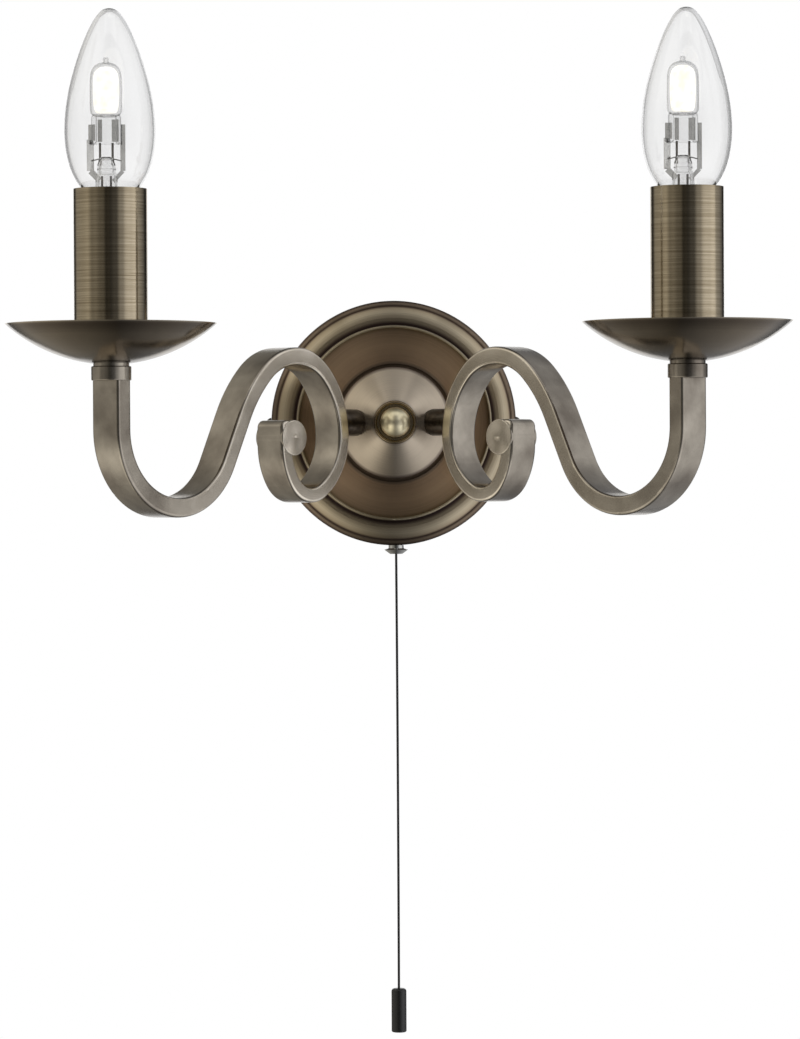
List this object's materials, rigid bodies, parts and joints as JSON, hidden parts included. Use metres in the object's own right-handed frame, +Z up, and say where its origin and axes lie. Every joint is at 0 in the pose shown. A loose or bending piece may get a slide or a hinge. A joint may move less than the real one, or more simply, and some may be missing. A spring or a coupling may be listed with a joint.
{
  "type": "double arm wall light",
  "caption": "Wall light with scrolled strip arms from a round backplate, drip trays, candle tubes with clear candle lamps and a pull cord switch.",
  "frame": {"origin": "centre of the backplate on the wall plane", "axes": "+Y into the wall, +Z up, +X to the right as the viewer faces the wall"},
  "size_m": [0.3018, 0.1699, 0.4099],
  "materials": {
    "spun_brass": "antique, radially brushed",
    "aged_bronze": "antique brass, satin",
    "brushed_brass": "antique brass, finely brushed round the tube",
    "dark_bronze": "dark antique brass",
    "polished_bronze": "polished, slightly grey",
    "brass": "pale polished brass",
    "zinc_steel": "zinc plated",
    "nickel": "nickel plated",
    "white_plastic": "moulded",
    "black_insulator": "black glass insulator",
    "clear_glass": "clear",
    "tungsten": "drawn wire and strip",
    "lead_sheath": "flexible sheath",
    "cord": "black braided cord",
    "black_plastic": "satin black"
  },
  "bodies": {
    "fixture": {"wall_bracket": "zinc_steel", "earth_screw": "brass", "backplate": "spun_brass", "side_screws": "dark_bronze", "hub_cone": "polished_bronze", "finial_cup": "polished_bronze", "finial_ball": "brass", "centre_stud": "zinc_steel", "centre_nut": "zinc_steel", "stub_nuts": "zinc_steel", "stub_saddles": "zinc_steel", "tray_nuts": "zinc_steel", "terminal_block": "white_plastic", "terminal_screws": "zinc_steel", "switch_housing": "white_plastic", "switch_bush": "nickel", "switch_nut": "nickel", "switch_spring": "tungsten", "switch_leads": "lead_sheath", "left_arm": "aged_bronze", "left_arm_stub": "dark_bronze", "left_arm_collar": "aged_bronze", "left_drip_tray": "aged_bronze", "left_nipple": "zinc_steel", "left_candle_tube": "brushed_brass", "left_holder_bracket": "zinc_steel", "left_holder_body": "white_plastic", "left_holder_shell": "brass", "left_holder_tongue": "brass", "left_arm_lead": "lead_sheath", "right_arm": "aged_bronze", "right_arm_stub": "dark_bronze", "right_arm_collar": "aged_bronze", "right_drip_tray": "aged_bronze", "right_nipple": "zinc_steel", "right_candle_tube": "brushed_brass", "right_holder_bracket": "zinc_steel", "right_holder_body": "white_plastic", "right_holder_shell": "brass", "right_holder_tongue": "brass", "right_arm_lead": "lead_sheath"},
    "left_lamp": {"left_lamp_glass": "clear_glass", "left_lamp_cap": "nickel", "left_lamp_tip": "black_insulator", "left_lamp_capsule": "clear_glass", "left_lamp_filament": "tungsten", "left_lamp_stem": "clear_glass", "left_lamp_supports": "tungsten"},
    "right_lamp": {"right_lamp_glass": "clear_glass", "right_lamp_cap": "nickel", "right_lamp_tip": "black_insulator", "right_lamp_capsule": "clear_glass", "right_lamp_filament": "tungsten", "right_lamp_stem": "clear_glass", "right_lamp_supports": "tungsten"},
    "pull": {"switch_plunger": "white_plastic", "pull_cord": "cord", "pull_knob": "black_plastic"}
  },
  "joints": [
    {"name": "left_lamp_release", "type": "slide", "parent": "fixture", "child": "left_lamp", "axis": [0, 0, 1], "range_m": [0, 0.03]},
    {"name": "right_lamp_release", "type": "slide", "parent": "fixture", "child": "right_lamp", "axis": [0, 0, 1], "range_m": [0, 0.03]},
    {"name": "cord_pull", "type": "slide", "parent": "fixture", "child": "pull", "axis": [0, 0, -1], "range_m": [0, 0.006], "stiffness_N_per_m": 500, "springref_m": -0.004, "deforming": ["switch_spring"]}
  ]
}
